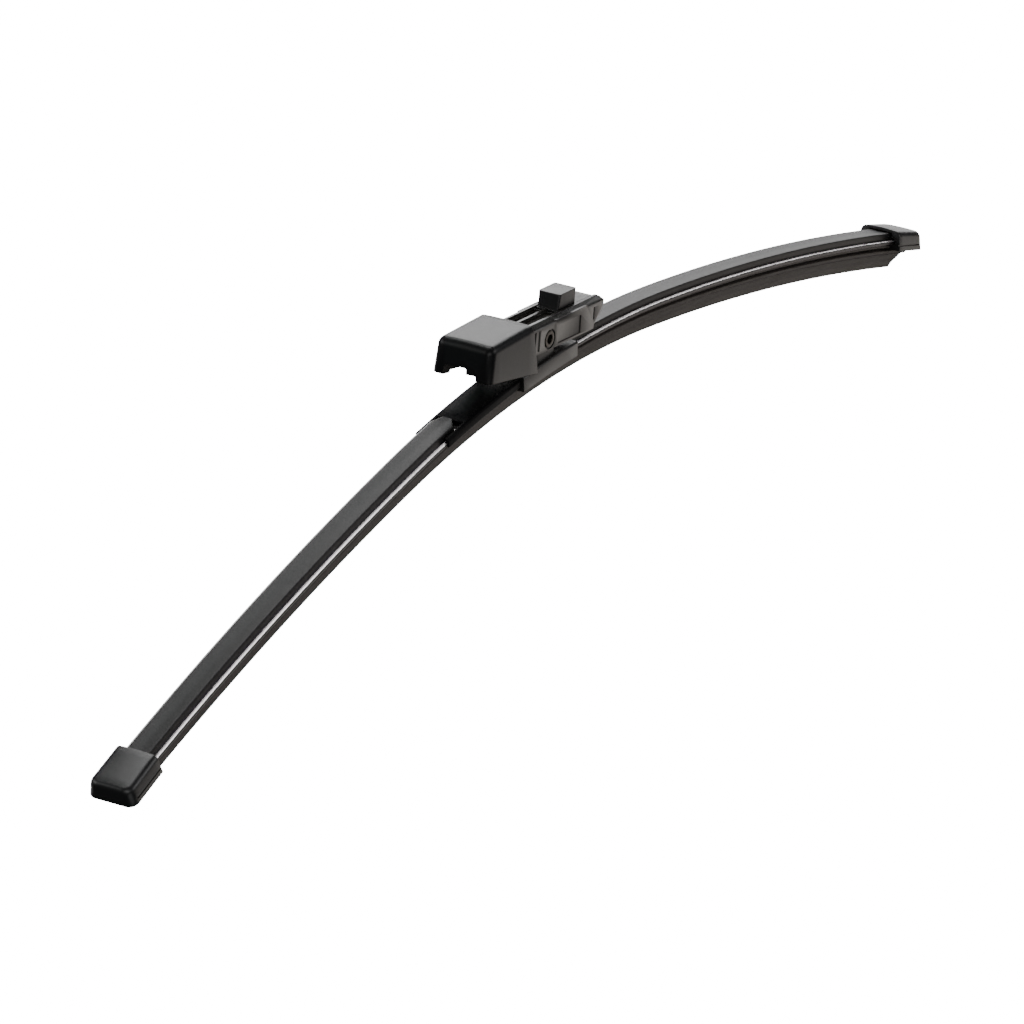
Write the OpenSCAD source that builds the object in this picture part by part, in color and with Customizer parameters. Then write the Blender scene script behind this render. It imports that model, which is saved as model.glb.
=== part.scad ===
// Flat rear wiper blade with a tilting plug adapter.
// Origin: centre of the adapter pivot. +X: along the blade to the plug end.
// +Y: across the blade. +Z: away from the glass. Millimetres.

/* [Blade] */
// length of the blade measured along its arch
blade_length = 400; // [300:5:480]
// radius of the arch in the middle of the blade
arch_radius_mid = 360; // [300:5:500]
// radius of the arch towards both ends
arch_radius_end = 940; // [600:10:2000]
// half length of the tighter middle arch
arch_half_mid = 60; // [58:1:90]
// distance along X from the pivot to the crown of the arch
crown_offset = 0.6; // [0:0.2:3]
// depth of the crown below the pivot
crown_depth = 5.4; // [5:0.1:6.4]

/* [Spring rails] */
// thickness of a spring rail
rail_thickness = 0.9; // [0.7:0.05:1.2]
// width of one spring rail
rail_width = 3.6; // [3:0.1:4.2]
// overall width across both rails
rails_width = 8.8; // [8:0.1:10]

/* [Rubber] */
// width of the rubber web between the rails
web_width = 1.5; // [1.1:0.1:1.6]
// width of the flange that the rails rest on
flange_width = 6.2; // [5:0.1:6.4]
// height of that flange
flange_height = 1.1; // [0.8:0.1:1.4]
// width of the tilting neck
neck_width = 1.4; // [1:0.1:2]
// height of the tilting neck
neck_height = 1.0; // [0.7:0.1:1.4]
// width of the shoulder above the lip
shoulder_width = 5; // [4:0.1:6]
// height of that shoulder
shoulder_height = 1.2; // [0.8:0.1:1.6]
// thickness of the lip where it wipes
lip_thickness = 0.7; // [0.5:0.1:1]
// depth of the lip's edge below the top of the spoiler
lip_depth = 10.2; // [9.5:0.1:12]
// length of the bevel at each end of the lip
lip_bevel = 5; // [3:0.5:8]

/* [Spoiler] */
// width of the spoiler
spoiler_width = 6.6; // [6:0.1:7.4]
// height of the spoiler above the rails
spoiler_height = 1.9; // [1.5:0.1:2.4]
// bevel of the spoiler's long edges
spoiler_edge = 0.4; // [0.2:0.1:0.8]

/* [End caps] */
// length of an end cap
cap_length = 14; // [12:0.5:18]
// width of an end cap at the top
cap_top_width = 11.4; // [11:0.1:13]
// width of an end cap at the bottom
cap_bottom_width = 13.2; // [12.6:0.1:15]
// height of the cap top above the spoiler top
cap_rise = 1; // [0.8:0.1:1.5]
// depth of the cap's lower edge below the spoiler top
cap_depth = 5; // [4.6:0.1:6]
// thickness of the cap's end wall
cap_wall = 1.6; // [1.2:0.1:2.5]
// rounding of the cap's corners in plan
cap_corner = 3; // [2:0.1:4]
// length of the metal clip inside a cap
clip_length = 5; // [4:0.1:5.5]
// thickness of the metal clip
clip_thickness = 0.5; // [0.4:0.1:0.6]

/* [Carrier] */
// length of the carrier clamp
carrier_length = 26.6; // [24:0.2:28]
// width of the carrier clamp
carrier_width = 11; // [10.6:0.1:11.2]
// thickness of the carrier's plate over the rails
carrier_plate = 1.5; // [1:0.1:1.7]
// depth of the carrier's skirt below the spoiler top
carrier_skirt = 4.4; // [4:0.1:4.8]
// thickness of one ear
ear_thickness = 1.2; // [1:0.1:1.4]
// radius of the ear around the pivot
ear_radius = 3.2; // [3:0.1:3.3]

/* [Pivot] */
// radius of the pivot pin
pin_radius = 2.2; // [2:0.05:2.3]
// radius of the pin's bore
pin_bore = 1.2; // [0.9:0.05:1.4]
// running clearance of the pin in the adapter
pin_clearance = 0.05; // [0.03:0.01:0.09]

/* [Adapter] */
// tilt of the adapter, plug end down
adapter_tilt = 6.5; // [4:0.1:7]
// width of the plug
plug_width = 11.4; // [11:0.1:12]
// length of the plug ahead of the pivot
plug_reach = 26.4; // [26:0.2:28]
// thickness of the plug's side walls
plug_wall = 1.3; // [1.1:0.1:1.5]
// height of the plug's top ribs above the pivot
rib_top = 5.1; // [5:0.1:5.6]
// depth of the grooves between the ribs
groove_depth = 0.7; // [0.5:0.1:0.8]
// width of one rib
rib_width = 0.8; // [0.6:0.1:0.9]
// distance of the outer ribs from the middle
rib_spread = 3.75; // [3.7:0.05:3.9]
// depth of the side walls below the pivot
panel_drop = 2.8; // [2.6:0.1:3]
// thickness of the plug's top plate below the grooves
roof_thickness = 0.7; // [0.6:0.1:0.8]

/* [Button] */
// length of the square button
button_length = 8.2; // [7:0.1:8.4]
// width of the square button
button_width = 6.1; // [5.6:0.1:6.2]
// start of the button ahead of the pivot
button_start = 7.9; // [7.6:0.1:8.4]
// height of the button's top above the pivot
button_top = 9.1; // [8.6:0.1:9.6]
// clearance around the release tongue
tongue_gap = 0.3; // [0.25:0.05:0.35]

/* [Hood] */
// width of the hood at its top
hood_top_width = 15.6; // [15:0.1:16.4]
// width of the hood at its bottom
hood_bottom_width = 17.2; // [16.8:0.1:18]
// length of the hood behind its shoulder
hood_length = 19.5; // [19:0.5:22]
// position of the shoulder behind the pivot
shoulder_back = 13.1; // [12.8:0.1:13.6]
// height of the hood's top above the pivot
hood_top = 7.5; // [7.3:0.1:8.2]
// thickness of the hood's wall
hood_wall = 1.5; // [1.2:0.1:1.6]

/* [View] */

/* [Hidden] */
$fn = 96;
cut = 0.5;
station = 6;
apart = 0.35;
half_length = blade_length / 2;
theta_mid = arch_half_mid / arch_radius_mid * 180 / PI;
mid_x = crown_offset;
mid_z = -crown_depth - arch_radius_mid;
end_x = (arch_radius_mid - arch_radius_end) * sin(theta_mid);
end_z = mid_z + (arch_radius_mid - arch_radius_end) * cos(theta_mid);

rail_top = -spoiler_height;
rail_bottom = rail_top - rail_thickness;
rail_outer = rails_width / 2;
rail_inner = rail_outer - rail_width;
flange_bottom = rail_bottom - flange_height;
neck_bottom = flange_bottom - neck_height;
shoulder_bottom = neck_bottom - shoulder_height;
lip_root = 1.3;
body_bottom = shoulder_bottom - 2.4;
rubber_end = half_length - cap_wall - apart;
rail_end = rubber_end;

cap_mouth = half_length - cap_length;
cap_slack = 0.15;
spoiler_end = cap_mouth + 2;
clip_start = spoiler_end + 1;

carrier_near = -12.4 - crown_offset;
carrier_far = carrier_near + carrier_length;
carrier_top = rail_top + carrier_plate;
claw_inner = flange_width / 2 + apart;
claw_top = rail_bottom;
claw_bottom = rail_bottom - 0.8;
ear_outer = plug_width / 2 - plug_wall - apart;

cover_near = -48.4;
cover_far = carrier_near - 0.5;
cover_top = rail_top + 1.2;
cover_half = rail_outer + 0.5;
cover_bottom = rail_bottom - 0.2;
spoiler_near_end = -40;
spoiler_round = 2.6;

roof_top = rib_top - groove_depth;
roof_bottom = roof_top - roof_thickness;
inner_half = plug_width / 2 - plug_wall;
body_back = shoulder_back + hood_wall;
window_half = button_width / 2 + tongue_gap;
tongue_top = rib_top - 0.2;
hinge_radius = (tongue_top - roof_bottom) / 2;
hinge_u = plug_reach - 2.8;
hinge_w = roof_bottom + hinge_radius;
tongue_start = button_start - 0.6;
counterbore = 2.65;
counterbore_depth = 0.4;

function end_angle(s) = theta_mid + (s - arch_half_mid) / arch_radius_end * 180 / PI;
function mid_angle(s) = s / arch_radius_mid * 180 / PI;
function side_of(s) = s > 0 ? 1 : -1;
function in_end(s) = abs(s) > arch_half_mid;
function angle_at(s) = in_end(s) ? side_of(s) * end_angle(abs(s)) : mid_angle(s);
function radius_at(s) = in_end(s) ? arch_radius_end : arch_radius_mid;
function centre_x(s) = in_end(s) ? mid_x + side_of(s) * end_x : mid_x;
function centre_z(s) = in_end(s) ? end_z : mid_z;

// A point at arc length s, sideways y and height n over the arch.
function on_arch(s, y, n) = [centre_x(s) + (radius_at(s) + n) * sin(angle_at(s)), y,
                             centre_z(s) + (radius_at(s) + n) * cos(angle_at(s))];

// The stations of a long sweep: both ends, the two joints of the arcs, and even steps.
function clear_of(s, s0, s1, e) = s > s0 + e && s < s1 - e && abs(abs(s) - arch_half_mid) > 0.5;
function steps(s0, s1, e, a, b) =
    [for (i = [-80:80]) let (s = i * station) if (s > a && s < b && clear_of(s, s0, s1, e)) s];
function stations(s0, s1, e) = concat(
    [s0], steps(s0, s1, e, -half_length, -arch_half_mid),
    s0 < -arch_half_mid && s1 > -arch_half_mid ? [-arch_half_mid] : [],
    steps(s0, s1, e, -arch_half_mid, arch_half_mid),
    s0 < arch_half_mid && s1 > arch_half_mid ? [arch_half_mid] : [],
    steps(s0, s1, e, arch_half_mid, half_length), [s1]);

// A closed profile of [y, n] corners, swept along the whole arch from s0 to s1.
// The corners low and low + 1 draw back by bevel at both ends.
module long_sweep(s0, s1, corners, bevel = 0, low = -2) {
    rows = stations(s0, s1, bevel + 0.5);
    m = len(corners);
    n = len(rows);
    last = (n - 1) * m;
    body = [for (j = [0:m - 1]) if (j < low || j > low + 1) j];
    tip = low < 0 ? [] : [low - 1, low, low + 1, low + 2];
    polyhedron(
        points = [for (i = [0:n - 1]) for (j = [0:m - 1])
            let (back = j == low || j == low + 1 ? bevel : 0, turn = i == 0 ? 1 : i == n - 1 ? -1 : 0)
            on_arch(rows[i] + turn * back, corners[j][0], corners[j][1])],
        faces = concat(
            [body], low < 0 ? [] : [tip],
            [[for (k = [len(body) - 1:-1:0]) last + body[k]]],
            low < 0 ? [] : [[for (k = [3:-1:0]) last + tip[k]]],
            [for (i = [0:n - 2]) for (j = [0:m - 1])
                [i * m + j, (i + 1) * m + j, (i + 1) * m + (j + 1) % m, i * m + (j + 1) % m]]));
}

// A short piece of the middle arc, as one true arc.
module sweep(s0, s1) {
    translate([mid_x, 0, mid_z])
    rotate([90, 0, 0])
    rotate([0, 0, 90 - mid_angle(s1)])
    rotate_extrude(angle = mid_angle(s1) - mid_angle(s0))
    translate([arch_radius_mid, 0])
    children();
}

// Places a piece on the arch at arc length s, within the end arcs or the middle arc.
module at(s) {
    translate(on_arch(s, 0, 0))
    rotate([0, angle_at(s), 0])
    children();
}

// A profile drawn in width and height, turned for the sweep.
module profile(points) {
    polygon([for (p = points) [p[1], p[0]]]);
}

module tilted() {
    rotate([0, adapter_tilt, 0])
    children();
}

// A side outline in length and height, given thickness across the blade.
module side_plate(points, y0, y1) {
    translate([0, y1, 0])
    rotate([90, 0, 0])
    linear_extrude(height = y1 - y0)
    polygon(points);
}

// A cross outline in width and height, run along the length.
module cross_bar(points, x0, x1) {
    translate([x0, 0, 0])
    rotate([90, 0, 90])
    linear_extrude(height = x1 - x0)
    polygon(points);
}

module box(x0, x1, y0, y1, z0, z1) {
    translate([x0, y0, z0])
    cube([x1 - x0, y1 - y0, z1 - z0]);
}

module across(r, y0, y1) {
    translate([0, y1, 0])
    rotate([90, 0, 0])
    cylinder(r = r, h = y1 - y0);
}

module spring_rail(side) {
    y0 = side > 0 ? rail_inner : -rail_outer;
    y1 = side > 0 ? rail_outer : -rail_inner;
    long_sweep(-rail_end, rail_end,
               [[y0, rail_bottom], [y1, rail_bottom], [y1, rail_top], [y0, rail_top]]);
}

module spring_rail_left() {
    color([0.1, 0.1, 0.11])
    spring_rail(1);
}

module spring_rail_right() {
    color([0.1, 0.1, 0.11])
    spring_rail(-1);
}

module wiper_rubber() {
    w = web_width / 2;
    f = flange_width / 2;
    k = neck_width / 2;
    h = shoulder_width / 2;
    b = lip_root;
    t = lip_thickness / 2;
    color([0.16, 0.15, 0.15])
    long_sweep(-rubber_end, rubber_end,
        [[-w, rail_top], [-w, rail_bottom], [-f, rail_bottom], [-f, flange_bottom],
         [-k, flange_bottom], [-k, neck_bottom], [-h, neck_bottom], [-h, shoulder_bottom],
         [-b, shoulder_bottom], [-t, body_bottom], [-t, -lip_depth], [t, -lip_depth],
         [t, body_bottom], [b, shoulder_bottom], [h, shoulder_bottom], [h, neck_bottom],
         [k, neck_bottom], [k, flange_bottom], [f, flange_bottom], [f, rail_bottom],
         [w, rail_bottom], [w, rail_top]], lip_bevel, 10);
}

module spoiler(s0, s1) {
    h = spoiler_width / 2;
    e = spoiler_edge;
    long_sweep(s0, s1, [[-h, rail_top], [h, rail_top], [h, -e], [h - e, 0], [-h + e, 0], [-h, -e]]);
}

module spoiler_near() {
    h = spoiler_width / 2;
    color([0.12, 0.12, 0.12])
    difference() {
        spoiler(-spoiler_end, spoiler_near_end);
        at(spoiler_near_end)
        for (side = [-1, 1]) {
            translate([0, 0, rail_top - cut])
            linear_extrude(height = spoiler_height + 2 * cut)
            difference() {
                translate([-spoiler_round, side > 0 ? h - spoiler_round : -h - cut])
                square([spoiler_round + cut, spoiler_round + cut]);
                translate([-spoiler_round, side * (h - spoiler_round)])
                circle(r = spoiler_round);
            }
        }
    }
}

module spoiler_far() {
    color([0.12, 0.12, 0.12])
    spoiler(carrier_far + apart, spoiler_end);
}

// The end cap in its own frame: the tip at x = 0 and the mouth at x = -cap_length.
module end_cap() {
    t = cap_top_width / 2;
    b = cap_bottom_width / 2;
    e = 1.2;
    m = -cap_length;
    rail_y = rail_outer + clip_thickness + cap_slack;
    difference() {
        intersection() {
            cross_bar([[-b, -cap_depth], [b, -cap_depth], [b - 0.2, -cap_depth + 2], [t, cap_rise - e],
                       [t - e * 0.4, cap_rise - e * 0.35], [t - e * 1.3, cap_rise],
                       [-t + e * 1.3, cap_rise], [-t + e * 0.4, cap_rise - e * 0.35],
                       [-t, cap_rise - e], [-b + 0.2, -cap_depth + 2]], m, 0);
            translate([0, 0, -cap_depth - cut])
            linear_extrude(height = cap_depth + cap_rise + 2 * cut)
            union() {
                translate([m - cut, -b])
                square([cap_length + cut - cap_corner, 2 * b]);
                translate([m, -b + cap_corner])
                square([cap_length, 2 * (b - cap_corner)]);
                translate([-cap_corner, -b + cap_corner])
                circle(r = cap_corner);
                translate([-cap_corner, b - cap_corner])
                circle(r = cap_corner);
            }
            side_plate([[m - cut, -cap_depth - cut], [0.6, -cap_depth - cut], [0, cap_rise - 3],
                        [-0.5, cap_rise - 1], [-1.8, cap_rise - 0.1], [-3, cap_rise],
                        [m - cut, cap_rise + 0]], -b - cut, b + cut);
        }
        box(m - cut, -cap_wall, -rail_y, rail_y, rail_bottom - cap_slack, rail_top + clip_thickness + cap_slack);
        box(m - cut, -cap_wall, -spoiler_width / 2 - cap_slack, spoiler_width / 2 + cap_slack,
            rail_top, cap_slack);
        box(m - cut, -cap_wall, -claw_inner, claw_inner, -cap_depth - cut, rail_top);
        for (side = [-1, 1]) {
            box(m - cut, cut, side * b - 0.35, side * b + 0.35, -cap_depth + 2.2, -cap_depth + 2.6);
        }
    }
}

module end_cap_far() {
    color([0.1, 0.1, 0.1])
    at(half_length)
    end_cap();
}

module end_cap_near() {
    color([0.1, 0.1, 0.1])
    at(-half_length)
    mirror([1, 0, 0])
    end_cap();
}

// The metal clip in its own frame: a bridge over both rails with two side tabs.
module end_clip() {
    y = rail_outer + clip_thickness;
    difference() {
        box(0, clip_length, -y, y, rail_bottom, rail_top + clip_thickness);
        box(-cut, clip_length + cut, -rail_outer, rail_outer, rail_bottom - cut, rail_top);
    }
}

module end_clip_far() {
    color([0.6, 0.6, 0.62])
    at(clip_start)
    end_clip();
}

module end_clip_near() {
    color([0.6, 0.6, 0.62])
    at(-clip_start)
    mirror([1, 0, 0])
    end_clip();
}

module carrier() {
    h = carrier_width / 2;
    color([0.14, 0.14, 0.14])
    difference() {
        union() {
            sweep(carrier_near, carrier_far)
            profile([[-h, -carrier_skirt], [-claw_inner, -carrier_skirt], [-claw_inner, claw_top],
                     [-rail_outer, claw_top], [-rail_outer, rail_top], [rail_outer, rail_top],
                     [rail_outer, claw_top], [claw_inner, claw_top], [claw_inner, -carrier_skirt],
                     [h, -carrier_skirt], [h, carrier_top - 0.4], [h - 0.4, carrier_top],
                     [-h + 0.4, carrier_top], [-h, carrier_top - 0.4]]);
            for (side = [-1, 1]) {
                ear(side > 0 ? ear_outer - ear_thickness : -ear_outer);
            }
        }
        across(pin_radius, -carrier_width, carrier_width);
    }
}

module ear(y0) {
    across(ear_radius, y0, y0 + ear_thickness);
    side_plate([[-ear_radius - 2, -crown_depth + carrier_top - 0.8],
                [ear_radius + 2, -crown_depth + carrier_top - 0.6],
                [ear_radius, 0], [-ear_radius, 0]], y0, y0 + ear_thickness);
}

module beam_cover() {
    h = cover_half;
    s = spoiler_width / 2 + apart;
    color([0.1, 0.1, 0.1])
    difference() {
        sweep(cover_near, cover_far)
        profile([[-h, cover_bottom], [-rail_outer, cover_bottom], [-rail_outer, rail_top],
                 [rail_outer, rail_top], [rail_outer, cover_bottom], [h, cover_bottom],
                 [h, cover_top - 0.5], [h - 0.5, cover_top], [-h + 0.5, cover_top],
                 [-h, cover_top - 0.5]]);
        at(spoiler_near_end)
        box(cover_near - spoiler_near_end - 1, apart, -s, s, rail_top - 0.3, cover_top + 1);
    }
}

module pivot_pin() {
    h = plug_width / 2;
    color([0.3, 0.3, 0.31])
    difference() {
        across(pin_radius, -h, h);
        across(pin_bore, -h - cut, h + cut);
    }
}

// The plug's cross outline, outer side.
function plug_outline() = let (h = plug_width / 2, r = rib_spread + rib_width / 2)
    [[-h, -panel_drop], [h, -panel_drop], [h, 3.9], [h - 0.25, 4.2], [h - 0.6, 4.35], [r, rib_top],
     [-r, rib_top], [-h + 0.6, 4.35], [-h + 0.25, 4.2], [-h, 3.9]];

// The plug's side outline, with the tapered end piece and its rounded top corner.
function plug_side() =
    [[-body_back, -panel_drop], [plug_reach - 4.5, -panel_drop], [plug_reach - 4.4, -1.8],
     [plug_reach - 1.6, 1], [plug_reach, 2.8], [plug_reach, rib_top - 1.1],
     [plug_reach - 0.4, rib_top - 0.4], [plug_reach - 1.1, rib_top], [-body_back, rib_top]];

module adapter_body() {
    h = plug_width / 2;
    color([0.25, 0.25, 0.24])
    tilted()
    difference() {
        union() {
            difference() {
                intersection() {
                    cross_bar(plug_outline(), -body_back, plug_reach);
                    side_plate(plug_side(), -h, h);
                }
                box(-body_back - cut, plug_reach - 1.5, -inner_half, inner_half,
                    -panel_drop - cut, roof_bottom);
            }
            for (side = [-1, 1]) {
                box(2.5, 18, side * (h - 0.35) - 0.35, side * (h - 0.35) + 0.35, 3.8, 4.4);
                box(-7.4, -6.6, side * h - 0.2, side * h + 0.2, -2, 3.4);
                box(-5.4, -4.7, side * h - 0.2, side * h + 0.2, -2, 3.4);
            }
        }
        plug_grooves();
        box(tongue_start - tongue_gap, hinge_u + hinge_radius + 0.1, -window_half, window_half,
            roof_bottom - cut, rib_top + cut);
        for (side = [-1, 1]) {
            box(4, 15.2, side * h - 0.3, side * h + 0.3, -2.2, 2.6);
            box(21.4, 21.9, side * h - 0.6, side * h + 0.6, -0.3, 3);
        }
        across(pin_radius + pin_clearance, -h - cut, h + cut);
        across(counterbore, -h - cut, -h + counterbore_depth);
        across(counterbore, h - counterbore_depth, h + cut);
    }
}

// Two grooves between the three ribs, up to the window of the release tongue.
module plug_grooves() {
    y0 = rib_width / 2;
    y1 = rib_spread - rib_width / 2;
    for (side = [-1, 1]) {
        box(-body_back - cut, tongue_start, side > 0 ? y0 : -y1, side > 0 ? y1 : -y0,
            roof_top, rib_top + cut);
    }
    box(hinge_u - cut, plug_reach + cut, -y1, y1, roof_top, rib_top + cut);
}

module release_tongue() {
    b = button_width / 2;
    x0 = button_start;
    x1 = button_start + button_length;
    color([0.22, 0.22, 0.22])
    tilted()
    union() {
        box(tongue_start, hinge_u, -b, b, roof_bottom, tongue_top);
        side_plate([[x0, tongue_top - 0.2], [x1, tongue_top - 0.2], [x1 - 0.2, button_top],
                    [x0 + 0.5, button_top]], -b, b);
        translate([hinge_u, 0, hinge_w])
        across(hinge_radius, -b, b);
    }
}

// One cross-section of the hood, as a thin slab at length x.
module hood_slab(x, top, half_top, half_bottom, e) {
    cross_bar([[-half_bottom, -8], [half_bottom, -8], [half_top, top - e],
               [half_top - e * 0.3, top - e * 0.3], [half_top - e, top],
               [-half_top + e, top], [-half_top + e * 0.3, top - e * 0.3], [-half_top, top - e]],
              x, x + 0.1);
}

// The hood's solid block, wider at the shoulder than at the front, made smaller by a wall.
module hood_block(wall, e) {
    b = shoulder_back;
    l = hood_length;
    t = hood_top_width / 2 - wall;
    w = hood_bottom_width / 2 - wall;
    hull() {
        hood_slab(-b - l - 1, hood_top + 0.1 - wall, t - 0.7, w - 0.4, e);
        hood_slab(-b + 3.5, hood_top + 0.1 - wall, t + 0.1, w + 0.2, e);
    }
}

module hood() {
    b = shoulder_back;
    l = hood_length;
    t = hood_wall;
    y = hood_bottom_width;
    color([0.09, 0.09, 0.09])
    tilted()
    difference() {
        intersection() {
            side_plate([[-b, hood_top - 0.4], [-b - 0.6, hood_top], [-b - 9, hood_top - 0.2],
                        [-b - l + 2.2, hood_top - 0.9], [-b - l + 1.2, hood_top - 1.6],
                        [-b - l + 0.9, hood_top - 2.6], [-b - l, -2.7], [-b + 2.7, -5.9]], -y, y);
            hood_block(0, 1.6);
        }
        intersection() {
            side_plate([[-b - t, -9], [-b - t, hood_top - t], [-b - 9, hood_top - t - 0.2],
                        [-b - l + 3.4, hood_top - t - 1], [-b - l + 1 + t, hood_top - t - 2.4],
                        [-b - l + t, -9]], -y, y);
            hood_block(t, 1);
        }
        box(-b - t - cut, -b + 4, -6.4, 6.4, -9, -panel_drop);
        cross_bar(plug_outline(), -b - t - cut, -b + 4);
        box(-b - l - cut, -b - l + 6, -5.2, 5.2, -9, -1.4);
    }
}

adapter_body();
hood();
release_tongue();
pivot_pin();
carrier();
beam_cover();
spring_rail_left();
spring_rail_right();
wiper_rubber();
spoiler_near();
spoiler_far();
end_cap_near();
end_cap_far();
end_clip_near();
end_clip_far();
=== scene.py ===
# %% [markdown]
# A flat rear wiper blade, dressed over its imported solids.
# The blade is a shallow arch: two spring rails in a rubber strip, a low spoiler on top, a cap on each end,
# and in the middle a carrier with a tilting plug under a hood. The solids give every size and every joint.
# Here each visible surface gets its soft edges and its finish, and nothing is moved from where the solids are.

# %% Load the solids and keep their box
import math

import bmesh
import bpy
from mathutils import Matrix, Vector


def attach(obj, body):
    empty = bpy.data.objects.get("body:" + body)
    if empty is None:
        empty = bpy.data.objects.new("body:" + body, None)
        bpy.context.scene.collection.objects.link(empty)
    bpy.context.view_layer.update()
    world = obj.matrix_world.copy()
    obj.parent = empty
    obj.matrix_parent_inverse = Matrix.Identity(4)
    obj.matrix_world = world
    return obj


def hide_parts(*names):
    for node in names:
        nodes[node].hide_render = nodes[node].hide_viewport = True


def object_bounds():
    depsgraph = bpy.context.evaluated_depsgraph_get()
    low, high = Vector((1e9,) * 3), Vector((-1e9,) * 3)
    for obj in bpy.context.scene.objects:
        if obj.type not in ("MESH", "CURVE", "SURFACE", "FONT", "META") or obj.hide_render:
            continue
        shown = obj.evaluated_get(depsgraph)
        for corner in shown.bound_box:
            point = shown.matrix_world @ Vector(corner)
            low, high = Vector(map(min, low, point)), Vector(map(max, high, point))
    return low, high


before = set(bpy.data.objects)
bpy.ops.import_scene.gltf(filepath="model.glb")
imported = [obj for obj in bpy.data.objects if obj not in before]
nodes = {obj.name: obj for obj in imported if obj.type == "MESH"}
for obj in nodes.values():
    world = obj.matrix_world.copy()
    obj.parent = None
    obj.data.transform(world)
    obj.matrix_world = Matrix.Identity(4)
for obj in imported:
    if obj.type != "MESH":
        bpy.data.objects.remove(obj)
cad_low, cad_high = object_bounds()
MM = 0.001
print("solids:", len(nodes), "box in mm:", [round(v / MM, 1) for v in cad_high - cad_low])

# %% [markdown]
# The camera of a catalogue picture stands far away with a long lens, so that the blade hardly shrinks towards
# its far end. It could be placed by eye, but the arch of the blade fixes it: the view comes from 31 degrees off
# the blade's length and 25 degrees above it. The position is worked out from the point it looks at.

# %% Camera
view_turn = math.radians(31.175)
view_down = math.radians(25.245)
view_range = 2309.8 * MM
view_point = Vector((-9.03, 0.0, -45.83)) * MM
ahead = Vector((math.cos(view_down) * math.cos(view_turn), math.cos(view_down) * math.sin(view_turn), -math.sin(view_down)))
aside = ahead.cross(Vector((0, 0, 1))).normalized()
above = aside.cross(ahead)
bpy.ops.object.camera_add(location=view_point - ahead * view_range)
camera = bpy.context.object
camera.matrix_world = Matrix.Translation(view_point - ahead * view_range) @ Matrix((
    (aside.x, above.x, -ahead.x), (aside.y, above.y, -ahead.y), (aside.z, above.z, -ahead.z))).to_4x4()
camera.data.sensor_width = 36
camera.data.lens = 9116.6 / 1024 * 36
camera.data.clip_end = 20
bpy.context.scene.camera = camera
print("camera at", [round(v, 3) for v in camera.location], "lens", round(camera.data.lens, 1))

# %% [markdown]
# The blade lies on a pale light table and touches it with the lip at both ends. The sheet is translucent, so lamps
# may also stand below it: it lets their light through and isn't mirrored itself. It is one wide round sheet,
# because a sheet with a rise at the back would show a fold in the side views.

# %% Table
bpy.ops.object.select_all(action="DESELECT")
bpy.ops.mesh.primitive_circle_add(vertices=96, radius=8.0, fill_type="NGON", location=(0, 0, cad_low.z - 0.02 * MM))
table = bpy.context.object
table.name = "table"
table.visible_glossy = False
table.visible_diffuse = False
table.visible_shadow = False

# %% [markdown]
# Black plastic shows its shape by what it mirrors. A broad soft lamp behind the blade gives the pale sheen on every
# top, a low one behind it draws the far rims, and a third below the sheet on the right turns the long sides grey.
# The front left stays dark, so the faces turned that way fall to black. Weaker lamps all round serve other views.

# %% Lamps
def soft_lamp(name, turn, rise, reach, size, power, tint=(1, 1, 1)):
    turn, rise = math.radians(turn), math.radians(rise)
    toward = Vector((math.cos(rise) * math.cos(turn), math.cos(rise) * math.sin(turn), math.sin(rise)))
    bpy.ops.object.light_add(type="AREA", location=toward * reach)
    lamp = bpy.context.object
    lamp.name = name
    lamp.data.shape = "RECTANGLE"
    lamp.data.size, lamp.data.size_y = size
    lamp.data.energy = power
    lamp.data.color = tint
    lamp.visible_camera = False
    lamp.rotation_mode = "QUATERNION"
    lamp.rotation_quaternion = (-toward).to_track_quat("-Z", "Y")


soft_lamp("back_lamp", 27, 25, 2.1, (1.5, 0.95), 25)
soft_lamp("low_back_lamp", 24, -5, 2.0, (1.2, 0.75), 4.5)
soft_lamp("rim_lamp", 48, -4, 2.0, (0.75, 0.8), 10)
soft_lamp("top_lamp", 38, 63, 2.0, (1.1, 0.9), 20)
soft_lamp("side_lamp", -31, -26, 1.3, (1.4, 0.85), 4.6, (1.0, 0.94, 0.88))
for turn in (121, 211, 301):
    soft_lamp(f"round_lamp_{turn}", turn, 28, 2.1, (1.5, 0.9), 14)
for turn in (78, 236):
    soft_lamp(f"low_round_lamp_{turn}", turn, -25, 1.6, (0.9, 0.7), 2.2)

room = bpy.data.worlds.new("room")
bpy.context.scene.world = room
room.use_nodes = True
room.node_tree.nodes["Background"].inputs["Color"].default_value = (1.0, 1.0, 1.0, 1)
room.node_tree.nodes["Background"].inputs["Strength"].default_value = 0.05

# %% [markdown]
# The solids were drawn with a few named measures, and the same numbers place the dressed pieces: the two-radius
# arch, the tilt of the plug, and the height of each layer below the top of the spoiler.

# %% Measures of the blade, in millimetres
arch_radius_mid, arch_radius_end, arch_half_mid = 360.0, 940.0, 60.0
crown_x, crown_z = 0.6, -5.4
half_length, cap_length = 200.0, 14.0
rail_top, rail_thick, rail_inner, rail_outer = -1.9, 0.9, 0.8, 4.4
spoiler_half = 3.3
theta_mid = arch_half_mid / arch_radius_mid
mid_z = crown_z - arch_radius_mid
end_x = (arch_radius_mid - arch_radius_end) * math.sin(theta_mid)
end_z = mid_z + (arch_radius_mid - arch_radius_end) * math.cos(theta_mid)
tilt = math.radians(6.5)


def arch_frame(s):
    """The arch's centre, radius and angle at arc length s."""
    if abs(s) <= arch_half_mid:
        return crown_x, mid_z, arch_radius_mid, s / arch_radius_mid
    side = 1 if s > 0 else -1
    return crown_x + side * end_x, end_z, arch_radius_end, side * (theta_mid + (abs(s) - arch_half_mid) / arch_radius_end)


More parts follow.
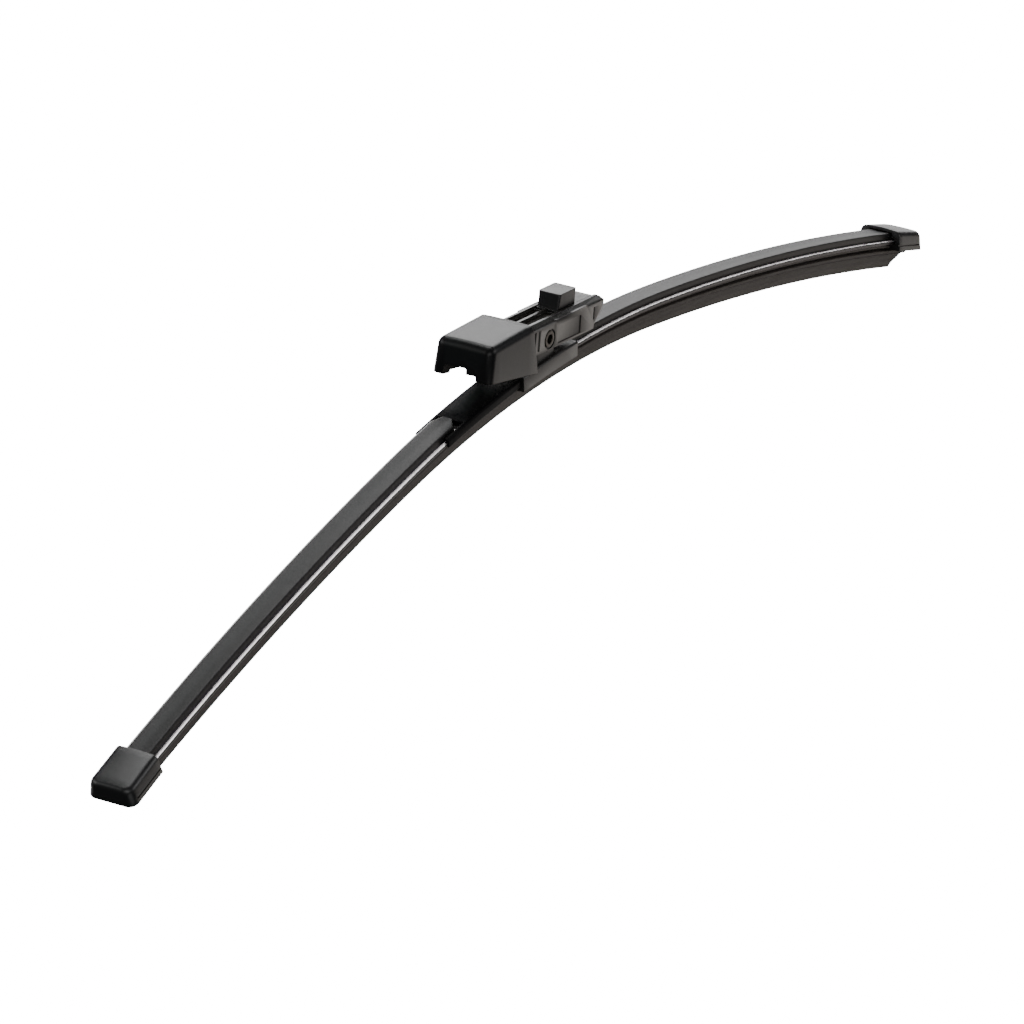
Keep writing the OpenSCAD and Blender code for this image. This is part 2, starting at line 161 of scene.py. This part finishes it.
def on_arch(s, y, n):
    """A point at arc length s, y to the side and n above the spoiler's top line, in metres."""
    cx, cz, r, a = arch_frame(s)
    return Vector((cx + (r + n) * math.sin(a), y, cz + (r + n) * math.cos(a))) * MM


def on_plug(u, y, w):
    """A point of the tilted plug and hood: u along the plug, w up from the pivot, in metres."""
    return Vector((u * math.cos(tilt) + w * math.sin(tilt), y, -u * math.sin(tilt) + w * math.cos(tilt))) * MM


def at_end(end):
    """Places a piece drawn with its tip at x = 0 on the near (-1) or far (1) end of the arch."""
    cx, cz, r, a = arch_frame(end * half_length)

    def place(x, y, n):
        return Vector((cx + r * math.sin(a) + (end * x) * math.cos(a) + n * math.sin(a), y,
                       cz + r * math.cos(a) - (end * x) * math.sin(a) + n * math.cos(a))) * MM
    return place


print("ends of the arch fall by", round(crown_z - on_arch(half_length, 0, 0).z / MM, 1), "mm")

# %% [markdown]
# A few habits are shared by all pieces. One piece is active and alone in the selection, edges and faces are
# picked by where they lie, and a modifier is applied as soon as it is set, so that the piece ends as plain mesh.

# %% Shared steps
def alone(obj):
    if bpy.context.object and bpy.context.object.mode != "OBJECT":
        bpy.ops.object.mode_set(mode="OBJECT")
    bpy.ops.object.select_all(action="DESELECT")
    obj.select_set(True)
    bpy.context.view_layer.objects.active = obj
    return obj


def pick(obj, test, kind="EDGE"):
    """Enters edit mode with the edges or faces selected whose middle passes the test."""
    alone(obj)
    bpy.ops.object.mode_set(mode="EDIT")
    bpy.ops.mesh.select_mode(type=kind)
    bm = bmesh.from_edit_mesh(obj.data)
    for part in list(bm.verts) + list(bm.edges) + list(bm.faces):
        part.select = False
    found = 0
    for part in (bm.edges if kind == "EDGE" else bm.faces):
        ends = [v.co for v in part.verts]
        if test(part, ends):
            part.select = True
            found += 1
    bm.select_flush_mode()
    bmesh.update_edit_mesh(obj.data)
    return found


def leave():
    bpy.ops.object.mode_set(mode="OBJECT")


def modifier(obj, kind, **settings):
    alone(obj)
    m = obj.modifiers.new(kind.title(), kind)
    for key, value in settings.items():
        setattr(m, key, value)
    bpy.ops.object.modifier_apply(modifier=m.name)


def smooth(obj, angle=35):
    alone(obj)
    bpy.ops.object.shade_smooth_by_angle(angle=math.radians(angle))
    return obj


def tidy(obj, reach=0.004):
    """Merges what coincides and turns every face outwards."""
    alone(obj)
    bpy.ops.object.mode_set(mode="EDIT")
    bpy.ops.mesh.select_all(action="SELECT")
    bpy.ops.mesh.remove_doubles(threshold=reach * MM)
    bpy.ops.mesh.normals_make_consistent(inside=False)
    leave()
    return obj


def move_points(obj, rule):
    for v in obj.data.vertices:
        v.co = rule(v.co.copy())
    obj.data.update()


# %% [markdown]
# The rails, the rubber and the spoilers are long strips with one section. A curve with a bevel profile could make
# them, but a tube is easier to control: a cylinder gets as many sides as the section has corners, its long edges
# are subdivided into rings, and each ring's corners are moved onto the section at its own place on the arch.

# %% A strip laid along the arch
def rounded(corners, radius, steps=3):
    """A closed section with each corner replaced by a short arc. A corner may carry its own radius."""
    out = []
    count = len(corners)
    for i, corner in enumerate(corners):
        p = Vector(corner[:2])
        r = corner[2] if len(corner) > 2 else radius
        a, b = Vector(corners[i - 1][:2]) - p, Vector(corners[(i + 1) % count][:2]) - p
        if r <= 0:
            out.append(tuple(p))
            continue
        r = min(r, a.length * 0.45, b.length * 0.45)
        start, end = p + a.normalized() * r, p + b.normalized() * r
        for k in range(steps + 1):
            t = k / steps
            q = start * (1 - t) ** 2 + p * 2 * t * (1 - t) + end * t ** 2
            out.append((q.x, q.y))
    return out


def stations(s0, s1, step=3.0, fine=0.0, fine_step=0.35):
    """Places along the strip, denser over the last stretch at both ends where fine is set."""
    marks = [s0]
    while marks[-1] < s1 - 1e-6:
        near_end = min(marks[-1] - s0, s1 - marks[-1]) < fine
        marks.append(min(marks[-1] + (fine_step if near_end else step), s1))
        if s1 - fine > marks[-1] - step and s1 - fine < marks[-1] and fine and not near_end:
            marks[-1] = s1 - fine
    return marks


def strip(name, section, marks, shape=None):
    """A cylinder along X whose corners become the section and whose rings follow the marks."""
    count, rings = len(section), len(marks) - 1
    bpy.ops.object.select_all(action="DESELECT")
    bpy.ops.mesh.primitive_cylinder_add(vertices=count, radius=1, depth=rings, end_fill_type="NGON",
                                        rotation=(0, math.pi / 2, 0))
    obj = bpy.context.object
    obj.name = name
    bpy.ops.object.transform_apply(location=False, rotation=True, scale=True)
    pick(obj, lambda e, ends: abs(ends[0].x - ends[1].x) > 0.5)
    bpy.ops.mesh.subdivide(number_cuts=rings - 1)
    leave()
    turn = math.atan2(obj.data.vertices[0].co.z, obj.data.vertices[0].co.y)

    def place(co):
        corner = round((math.atan2(co.z, co.y) - turn) / (2 * math.pi / count)) % count
        s, (y, n) = marks[round(co.x + rings / 2)], section[corner]
        if shape:
            s, y, n = shape(s, y, n)
        return on_arch(s, y, n)
    move_points(obj, place)
    return smooth(tidy(obj), 30)


# %% [markdown]
# The spoiler is one soft extrusion with a shallow hollow along its top, so that it catches the light in a band.
# At the hood its near piece ends in rounded corners, and at the caps it runs inside and needs no finish.

# %% Spoilers
spoiler_section = rounded(
    [(-3.3, rail_top, 0.03), (3.3, rail_top, 0.03), (3.3, -1.72, 0.08), (3.4, -1.6, 0.08), (4.25, -1.0, 0.12),
     (2.95, 0.0, 0.2), (1.5, -0.07, 0.8), (0.0, -0.15, 0.8), (-1.5, -0.07, 0.8), (-3.0, 0.0, 0.42), (-3.14, -0.6, 0.3),
     (-3.14, -1.6, 0.08), (-3.3, -1.72, 0.08)], 0.2, 4)
near_stop, corner_round = -40.0, 2.6


def rounded_stop(s, y, n):
    inside = near_stop - s
    if inside < corner_round:
        drawn_in = corner_round - math.sqrt(max(corner_round ** 2 - (corner_round - inside) ** 2, 0))
        y = max(drawn_in - spoiler_half, min(4.25 - drawn_in, y))
    return s, y, n


spoiler_near = strip("spoiler_near_piece", spoiler_section, stations(-188.0, near_stop, 3.0, 3.0, 0.3), rounded_stop)
spoiler_far = strip("spoiler_far_piece", spoiler_section, stations(14.2, 188.0, 3.0))
print("spoilers:", len(spoiler_near.data.polygons) + len(spoiler_far.data.polygons), "faces")

# %% [markdown]
# Each rail is a flat strip of spring steel with rolled edges. Only about a millimetre of it shows on each side of
# the spoiler, and that narrow bright band draws the white line along the blade.

# %% Spring rails
def rail_section(side):
    y0, y1 = sorted((side * rail_inner, side * rail_outer))
    low = rail_top - rail_thick
    return rounded([(y0, low), (y1, low), (y1, rail_top), (y0, rail_top)], 0.28, 4)


rail_marks = stations(-198.0, 198.0, 3.0)
rail_left = strip("rail_left_piece", rail_section(1), rail_marks)
rail_right = strip("rail_right_piece", rail_section(-1), rail_marks)

# %% [markdown]
# The rubber is the deepest strip. Its web stands between the rails, its flange carries them, a thin neck lets the
# lip tilt, and below the shoulder the sides taper to the lip. The lip is cut back at both ends, so the lowest
# corners are drawn in there before the rings are laid on the arch.

# %% Wiper rubber
rubber_section = rounded(
    [(-0.75, -1.92, 0), (-0.75, -2.8, 0.1), (-3.1, -2.8, 0.15), (-3.1, -3.9, 0.3), (-0.8, -3.98, 0.25),
     (-0.7, -4.9, 0.25), (-2.5, -4.95, 0.25), (-2.5, -5.7, 0.3), (-2.1, -6.1, 0.3), (-1.25, -6.3, 0.4), (-0.95, -7.6, 0.5),
     (-0.42, -8.6, 0.5), (-0.35, -10.2, 0.06), (0.35, -10.2, 0.06), (0.42, -8.6, 0.5), (0.95, -7.6, 0.5),
     (1.25, -6.3, 0.4), (2.1, -6.1, 0.3), (2.5, -5.7, 0.3), (2.5, -4.95, 0.25), (0.7, -4.9, 0.25), (0.8, -3.98, 0.25),
     (3.1, -3.9, 0.3), (3.1, -2.8, 0.15), (0.75, -2.8, 0.1), (0.75, -1.92, 0)], 0.2, 2)
rubber_stop = 198.0


def cut_back(s, y, n):
    back = max(0.0, (-6.0 - n) / 4.2) * 4.9
    return max(-rubber_stop + back, min(rubber_stop - back, s)), y, n


rubber = strip("rubber_piece", rubber_section, stations(-rubber_stop, rubber_stop, 3.0, 6.0, 1.0), cut_back)
print("rubber:", len(rubber.data.polygons), "faces")

# %% [markdown]
# Hood and caps are moulded shells with crowned tops and generous corners. Each starts as a cube whose eight corners
# go to the shell's own corners; the top is divided and lifted a little in the middle, the outer edges are
# bevelled in two sizes, and openings are cut with a boolean, as a tool steel core would form them.

# %% A moulded block from eight corners
def block(name, low, high):
    """A cube whose corners are moved: low and high are four (x, y, z) corners each, in the order -x-y, +x-y, +x+y, -x+y."""
    bpy.ops.object.select_all(action="DESELECT")
    bpy.ops.mesh.primitive_cube_add(size=2)
    obj = bpy.context.object
    obj.name = name
    order = [(-1, -1), (1, -1), (1, 1), (-1, 1)]
    move_points(obj, lambda co: Vector((low if co.z < 0 else high)[order.index((round(co.x), round(co.y)))]))
    return obj


def bevel_edges(obj, test, size, steps=4, clamp=False):
    found = pick(obj, test)
    if found:
        bpy.ops.mesh.bevel(offset=size, segments=steps, profile=0.5, affect="EDGES", clamp_overlap=clamp)
    leave()
    return found


def crown_top(obj, xs, ys, middle, half, lift, z_from, z_full):
    """Divides the block at xs and ys and lifts its top in the middle by a shallow dome."""
    for axis, places in ((0, xs), (1, ys)):
        for place in places:
            spot, way = [0, 0, 0], [0, 0, 0]
            spot[axis], way[axis] = place, 1
            pick(obj, lambda p, ends: True, "FACE")
            bpy.ops.mesh.bisect(plane_co=spot, plane_no=way)
            leave()

    def dome(co):
        share = max(0.0, min(1.0, (co.z - z_from) / (z_full - z_from)))
        bow = max(0.0, 1 - (co.y / half[1]) ** 2) * max(0.0, 1 - 0.4 * ((co.x - middle) / half[0]) ** 2)
        return co + Vector((0, 0, lift * bow * share))
    move_points(obj, dome)


def cut_with(obj, cutter):
    modifier(obj, "BOOLEAN", operation="DIFFERENCE", solver="EXACT", object=cutter)
    bpy.data.objects.remove(cutter, do_unlink=True)


def sharp(edge, degrees=30):
    return len(edge.link_faces) == 2 and edge.calc_face_angle(0) > math.radians(degrees)


# %% [markdown]
# The end cap is about a finger's width. Its tip is round in plan and rolls down at the front, its sides flare
# towards the glass, and a fine ledge runs along each side. The strip of rubber and the rails run into its mouth.

# %% End caps
def end_cap(name, end):
    L = cap_length
    cap = block(name, [(-L, -6.6, -4.4), (0, -6.9, -4.4), (0, 6.9, -4.4), (-L, 6.6, -4.4)],
                [(-L, -5.8, 0.62), (-0.5, -5.95, 0.3), (-0.5, 5.95, 0.3), (-L, 5.8, 0.62)])
    bevel_edges(cap, lambda e, ends: all(v.x > -1.2 for v in ends) and ends[0].y * ends[1].y > 0
                and abs(ends[0].z - ends[1].z) > 3, 2.5, 8)
    bevel_edges(cap, lambda e, ends: sharp(e) and all(v.z > 0.1 for v in ends) and not all(v.x < -L + 0.1 for v in ends), 1.2, 6)
    bevel_edges(cap, lambda e, ends: sharp(e), 0.22, 3, True)
    crown_top(cap, (-12, -10, -8, -6, -4), (-4, -2.7, -1.3, 0, 1.3, 2.7, 4), -10, (11, 5.9), 0.37, -0.3, 0.55)
    core = block("core", [(-L - 1, -4.95, -2.95), (-1.6, -4.95, -2.95), (-1.6, 4.95, -2.95), (-L - 1, 4.95, -2.95)],
                 [(-L - 1, -4.95, -1.2), (-1.6, -4.95, -1.2), (-1.6, 4.95, -1.2), (-L - 1, 4.95, -1.2)])
    cut_with(cap, core)
    core = block("core", [(-L - 1, -3.45, -2.5), (-1.6, -3.45, -2.5), (-1.6, 3.45, -2.5), (-L - 1, 3.45, -2.5)],
                 [(-L - 1, -3.45, 0.15), (-1.6, -3.45, 0.15), (-1.6, 3.45, 0.15), (-L - 1, 3.45, 0.15)])
    cut_with(cap, core)
    core = block("core", [(-L - 1, -3.45, -7), (-1.6, -3.45, -7), (-1.6, 3.45, -7), (-L - 1, 3.45, -7)],
                 [(-L - 1, -3.45, -2.7), (-1.6, -3.45, -2.7), (-1.6, 3.45, -2.7), (-L - 1, 3.45, -2.7)])
    cut_with(cap, core)
    for side in (-1, 1):
        y0, y1 = sorted((side * 6.0, side * 7.4))
        core = block("core", [(-L - 1, y0, -3.1), (-2.6, y0, -3.1), (-2.6, y1, -3.1), (-L - 1, y1, -3.1)],
                     [(-L - 1, y0, -2.75), (-2.6, y0, -2.75), (-2.6, y1, -2.75), (-L - 1, y1, -2.75)])
        cut_with(cap, core)
    place = at_end(end)
    move_points(cap, lambda co: place(co.x, co.y, co.z))
    return smooth(tidy(cap), 32)


cap_near = end_cap("cap_near_piece", -1)
cap_far = end_cap("cap_far_piece", 1)
print("caps:", len(cap_near.data.polygons), "faces each")

# %% [markdown]
# The hood hides the arm's end. It is an upside-down tub, broader at the shoulder than at the front, with an
# arch-shaped cut-out in front where the blade rises when it tilts. The wall is left thick enough for a moulding.

# %% Hood
hood = block("hood_piece",
             [(-34.1, -8.62, -2.85), (-9.9, -8.62, -5.9), (-9.9, 8.62, -5.9), (-34.1, 8.62, -2.85)],
             [(-32.7, -8.35, 6.22), (-12.5, -8.1, 7.15), (-12.5, 8.1, 7.15), (-32.7, 8.35, 6.22)])
bevel_edges(hood, lambda e, ends: all(v.x < -29 for v in ends) and ends[0].y * ends[1].y > 0
            and abs(ends[0].z - ends[1].z) > 3, 2.2, 8)
bevel_edges(hood, lambda e, ends: sharp(e) and all(v.z > 5.2 for v in ends) and not all(v.x > -13 for v in ends), 1.9, 8)
bevel_edges(hood, lambda e, ends: sharp(e), 0.3, 3, True)
crown_top(hood, [-29 + 2 * k for k in range(8)], [-6 + 1.5 * k for k in range(9)], -22, (10, 8.1), 0.3, 4.6, 6.2)
space = block("space", [(-31.0, -6.9, -9), (-14.6, -7.3, -9), (-14.6, 7.3, -9), (-31.0, 6.9, -9)],
             [(-29.6, -5.9, 4.9), (-14.6, -6.4, 5.7), (-14.6, 6.4, 5.7), (-29.6, 5.9, 4.9)])
bevel_edges(space, lambda e, ends: all(v.z > 0 for v in ends), 0.8, 3)
cut_with(hood, space)
gate = block("gate", [(-16.5, -6.4, -9), (-9, -6.4, -9), (-9, 6.4, -9), (-16, 6.4, -9)],
             [(-16, -6.4, -2.7), (-9, -6.4, -2.7), (-9, 6.4, -2.7), (-16, 6.4, -2.7)])
cut_with(hood, gate)
for y0, top in ((-5.2, -1.4), (-2.2, 0.0)):
    arch = block("arch", [(-36, y0, -9), (-29, y0, -9), (-29, 5.6, -9), (-36, 5.6, -9)],
                 [(-36, y0 + 0.8, top), (-29, y0 + 0.8, top), (-29, 4.9, top - 0.3), (-36, 4.9, top - 0.3)])
    bevel_edges(arch, lambda e, ends: all(v.z > -2 for v in ends) and abs(ends[0].x - ends[1].x) > 3, 0.5, 4)
    cut_with(hood, arch)
move_points(hood, lambda co: on_plug(co.x, co.y, co.z))
smooth(tidy(hood), 32)
print("hood:", len(hood.data.polygons), "faces")

# %% [markdown]
# The plug, its tongue, the pivot pin, the carrier and the low cover already have their true shape in the solids:
# ribs, grooves, bores and the plain recess. What is missing is the small radius that every moulded edge has. Each
# is copied, its loose triangles are merged and its flat faces joined, and its sharp edges get a narrow bevel.

# %% Softened copies of the solids
def softened(node, name, size, steps=2, angle=32, before=None):
    alone(nodes[node])
    bpy.ops.object.duplicate()
    obj = bpy.context.object
    obj.name = name
    bpy.ops.object.mode_set(mode="EDIT")
    bpy.ops.mesh.select_all(action="SELECT")
    bpy.ops.mesh.remove_doubles(threshold=0.0008 * MM)
    bpy.ops.mesh.dissolve_limited(angle_limit=math.radians(0.6))
    leave()
    if before:
        before(obj)
    modifier(obj, "BEVEL", width=size * MM, segments=steps, limit_method="ANGLE",
             angle_limit=math.radians(angle), use_clamp_overlap=True, miter_outer="MITER_ARC")
    return smooth(obj, 40)


def swell_button(obj):
    """The button on the tongue is a little wider than its stem, with rounded upright corners."""
    def wider(co):
        u, w = co.x * math.cos(tilt) - co.z * math.sin(tilt), co.x * math.sin(tilt) + co.z * math.cos(tilt)
        u, y, w = u / MM, co.y / MM, w / MM
        if w > 5.2:
            u, y = (u - 0.3 if u < 12 else u + 0.5), y * 1.07
        return on_plug(u, y, w)
    move_points(obj, wider)
    return obj


def upright(edge, ends):
    long_way = (ends[0] - ends[1]).normalized()
    return abs(long_way.dot(on_plug(0, 0, 1).normalized())) > 0.9 and (ends[0] - ends[1]).length > 2 * MM


def before_tongue(obj):
    swell_button(obj)
    bevel_edges(obj, upright, 0.75 * MM, 5)


def before_plug(obj):
    for y0, y1 in ((-3.3, -0.45), (0.45, 3.3)):
        slot = block("slot", [(-14, y0, 2.5), (6.8, y0, 2.5), (6.8, y1, 2.5), (-14, y1, 2.5)],
                     [(-14, y0, 8), (6.8, y0, 8), (6.8, y1, 8), (-14, y1, 8)])
        move_points(slot, lambda co: on_plug(co.x, co.y, co.z))
        cut_with(obj, slot)


plug = softened("adapter_body", "plug_piece", 0.14, before=before_plug)
tongue = softened("release_tongue", "tongue_piece", 0.22, 3, before=before_tongue)
pin = softened("pivot_pin", "pin_piece", 0.18, 3)
carrier = softened("carrier", "carrier_piece", 0.16)
cover = softened("beam_cover", "cover_piece", 0.2, 3)
clip_near = softened("end_clip_near", "clip_near_piece", 0.08)
clip_far = softened("end_clip_far", "clip_far_piece", 0.08)
print("plug:", len(plug.data.polygons), "faces after softening")

# %% [markdown]
# Shader maths reads best as plain expressions. A small class wraps a socket and turns +, - and * into Math nodes,
# and one method adds any other node from its type, its settings and its inputs.

# %% Shader writing
class Wire:
    def __init__(self, tree, socket):
        self.tree, self.socket = tree, socket

    def math(self, operation, other, swap=False):
        node = self.tree.nodes.new("ShaderNodeMath")
        node.operation = operation
        for slot, value in zip(node.inputs, (other, self) if swap else (self, other)):
            if isinstance(value, Wire):
                self.tree.links.new(value.socket, slot)
            else:
                slot.default_value = value
        return Wire(self.tree, node.outputs[0])

    def __add__(self, other): return self.math("ADD", other)
    def __radd__(self, other): return self.math("ADD", other)
    def __sub__(self, other): return self.math("SUBTRACT", other)
    def __rsub__(self, other): return self.math("SUBTRACT", other, True)
    def __mul__(self, other): return self.math("MULTIPLY", other)
    def __rmul__(self, other): return self.math("MULTIPLY", other)


class Finish:
    """One material: its tree, its main shader and a way to add nodes."""

    def __init__(self, name, **fixed):
        self.material = bpy.data.materials.new(name)
        self.material.use_nodes = True
        self.tree = self.material.node_tree
        self.shader = self.tree.nodes["Principled BSDF"]
        for key, value in fixed.items():
            self.shader.inputs[key.replace("_", " ")].default_value = value

    def node(self, kind, settings=None, out=0, **values):
        made = self.tree.nodes.new(kind)
        for key, value in (settings or {}).items():
            if key == "stops":
                ramp = made.color_ramp.elements
                while len(ramp) < len(value):
                    ramp.new(0.5)
                for element, (place, tone) in zip(ramp, value):
                    element.position, element.color = place, (tone, tone, tone, 1)
            else:
                setattr(made, key, value)
        for key, value in values.items():
            slot = made.inputs[int(key[1:]) if key[0] == "i" and key[1:].isdigit() else key.replace("_", " ")]
            if isinstance(value, Wire):
                self.tree.links.new(value.socket, slot)
            else:
                slot.default_value = value
        return Wire(self.tree, made.outputs[out])

    def into(self, socket, wire):
        self.tree.links.new(wire.socket, self.shader.inputs[socket])

    def place(self):
        return self.node("ShaderNodeTexCoord", out=3)

    def noise(self, scale, detail=2.0, rough=0.5, where=None):
        return self.node("ShaderNodeTexNoise", out=0, Vector=where or self.place(), Scale=scale, Detail=detail, Roughness=rough)

    def blend(self, mask, one, two):
        mixed = self.node("ShaderNodeMix", {"data_type": "RGBA"}, out=2, i0=mask, i6=(*one, 1), i7=(*two, 1))
        return mixed

    def bump(self, height, strength, distance):
        self.into("Normal", self.node("ShaderNodeBump", Height=height, Strength=strength, Distance=distance))


# %% [markdown]
# Moulded black plastic isn't one flat black. The tool leaves a fine spark-eroded grain that spreads the sheen, the
# gloss wanders a little over a hand's breadth, and a few pale rubs show where the part was handled.

# %% Moulded plastic
def moulded(name, tone, rough, grain=0.5, level=0.42, warm=0.0):
    f = Finish(name, Specular_IOR_Level=level)
    cloud = f.noise(38.0, 3.0)
    fine = f.noise(5200.0, 2.0, 0.6)
    light = tuple(c * (1.25 + warm * k) for c, k in zip(tone, (1, 0.5, 0)))
    f.into("Base Color", f.blend(cloud, tone, light))
    f.into("Roughness", (cloud - 0.5) * 0.12 + rough + (fine - 0.5) * 0.06)
    f.bump(fine, grain, 0.00003)
    return f.material


hood_plastic = moulded("hood_plastic", (0.005, 0.005, 0.0055), 0.34, level=0.2)
cap_plastic = moulded("cap_plastic", (0.007, 0.007, 0.0075), 0.36)
plug_plastic = moulded("plug_plastic", (0.009, 0.0088, 0.0080), 0.32, level=0.5, warm=0.15)
button_plastic = moulded("button_plastic", (0.006, 0.006, 0.0065), 0.38)
carrier_plastic = moulded("carrier_plastic", (0.010, 0.0098, 0.0092), 0.36)
# The cover's darkest tone and weak gloss are painted shade from the hood above it.
cover_plastic = moulded("cover_plastic", (0.003, 0.003, 0.0035), 0.5, level=0.04)
spoiler_plastic = moulded("spoiler_plastic", (0.005, 0.005, 0.005), 0.42, grain=0.35, level=0.2)

# %% [markdown]
# The rails are slit from bright strip: their flat side keeps the rolled shine with fine lines along the length, and
# the slit edges get a near-black colour, which is painted shade. A facing upwards or downwards tells the flat side
# from the edges, so one mask from the surface's own direction parts the two. Under the cover and the plug the strip is
# near-black as painted shade.

# %% Spring steel strip
def strip_steel():
    f = Finish("strip_steel", Specular_IOR_Level=0.3)
    # Painted shade: faces turned sideways get a near-black colour instead of bright metal.
    facing = f.node("ShaderNodeSeparateXYZ", out=2, Vector=f.node("ShaderNodeNewGeometry", out=1))
    painted_light_mask = f.node("ShaderNodeMath", {"operation": "ABSOLUTE"}, i0=facing)
    painted_light_mask = f.node("ShaderNodeMapRange", {"clamp": True}, i0=painted_light_mask, i1=0.6, i2=0.85, i3=0.0, i4=1.0)
    lines = f.noise(1.0, 2.0, 0.5, f.node("ShaderNodeMapping", Vector=f.place(), Scale=(8.0, 2500.0, 40.0)))
    # Painted shade: near-black over the middle, under the cover, the carrier and the plug.
    along = f.node("ShaderNodeMath", {"operation": "ABSOLUTE"}, i0=f.node("ShaderNodeSeparateXYZ", Vector=f.place()) + 0.0135)
    painted_light_mask = painted_light_mask * f.node("ShaderNodeMapRange", {"clamp": True}, i0=along, i1=0.0270, i2=0.0275, i3=0.0, i4=1.0)
    f.into("Base Color", f.blend(painted_light_mask, (0.012, 0.011, 0.011), (0.86, 0.83, 0.83)))
    f.into("Metallic", painted_light_mask * 1.0)
    f.into("Roughness", (lines - 0.5) * 0.16 + 0.40)
    f.bump(lines, 0.06, 0.00003)
    return f.material


rail_finish = strip_steel()

# %% [markdown]
# Extruded rubber is the dullest surface: brownish grey, with faint lines along the strip from the die and a light
# bloom of dust. The die lines follow the length, so their noise is stretched along X.

# %% Rubber
def extruded_rubber():
    f = Finish("extruded_rubber", Specular_IOR_Level=0.35)
    long_grain = f.node("ShaderNodeMapping", Vector=f.place(), Scale=(6.0, 900.0, 900.0))
    lines = f.noise(1.0, 3.0, 0.6, long_grain)
    bloom = f.noise(55.0, 4.0)
    f.into("Base Color", f.blend(bloom, (0.026, 0.022, 0.019), (0.046, 0.039, 0.034)))
    f.into("Roughness", (lines - 0.5) * 0.15 + 0.62)
    f.bump(lines + f.noise(3000.0) * 0.4, 0.35, 0.00005)
    return f.material


rubber_finish = extruded_rubber()

# %% [markdown]
# The hollow pin and the small clips inside the caps are bare steel. Fine scratches run round the pin from turning.

# %% Bare steel
def bare_steel(name, tone, rough):
    f = Finish(name, Metallic=1.0)
    turned = f.node("ShaderNodeMapping", Vector=f.place(), Scale=(60.0, 3000.0, 60.0))
    marks = f.noise(1.0, 2.0, 0.6, turned)
    f.into("Base Color", f.blend(marks, tuple(c * 0.8 for c in tone), tone))
    f.into("Roughness", (marks - 0.5) * 0.2 + rough)
    f.bump(marks, 0.15, 0.00003)
    return f.material


pin_steel = bare_steel("pin_steel", (0.055, 0.048, 0.043), 0.40)
clip_steel = bare_steel("clip_steel", (0.5, 0.5, 0.52), 0.3)

# %% [markdown]
# The table is matt paper. It gets a trace of grain, and a little light of its own, as a lit catalogue table has.

# %% Table paper
def paper():
    f = Finish("paper", Emission_Color=(1, 1, 1, 1), Emission_Strength=16.0)
    f.into("Base Color", f.blend(f.noise(9.0), (0.90, 0.90, 0.90), (0.93, 0.93, 0.93)))
    f.shader.inputs["Roughness"].default_value = 0.9
    return f.material


# %% [markdown]
# Last, each piece gets its finish, stands for its solid, and rides on the body that moves it: the arm holds the
# plug and the hood, the blade tilts on the pin, and the tongue bends down when the button is pressed.

# %% Finish and bodies
def dress(piece, node, body, finish):
    piece.data.materials.clear()
    piece.data.materials.append(finish)
    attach(piece, body)
    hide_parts(node)


table.data.materials.append(paper())
dress(spoiler_near, "spoiler_near", "blade", spoiler_plastic)
dress(spoiler_far, "spoiler_far", "blade", spoiler_plastic)
dress(rail_left, "spring_rail_left", "blade", rail_finish)
dress(rail_right, "spring_rail_right", "blade", rail_finish)
dress(rubber, "wiper_rubber", "blade", rubber_finish)
dress(cap_near, "end_cap_near", "blade", cap_plastic)
dress(cap_far, "end_cap_far", "blade", cap_plastic)
dress(hood, "hood", "adapter", hood_plastic)
dress(plug, "adapter_body", "adapter", plug_plastic)
dress(tongue, "release_tongue", "tongue", button_plastic)
dress(pin, "pivot_pin", "blade", pin_steel)
dress(carrier, "carrier", "blade", carrier_plastic)
dress(cover, "beam_cover", "blade", cover_plastic)
dress(clip_near, "end_clip_near", "blade", clip_steel)
dress(clip_far, "end_clip_far", "blade", clip_steel)
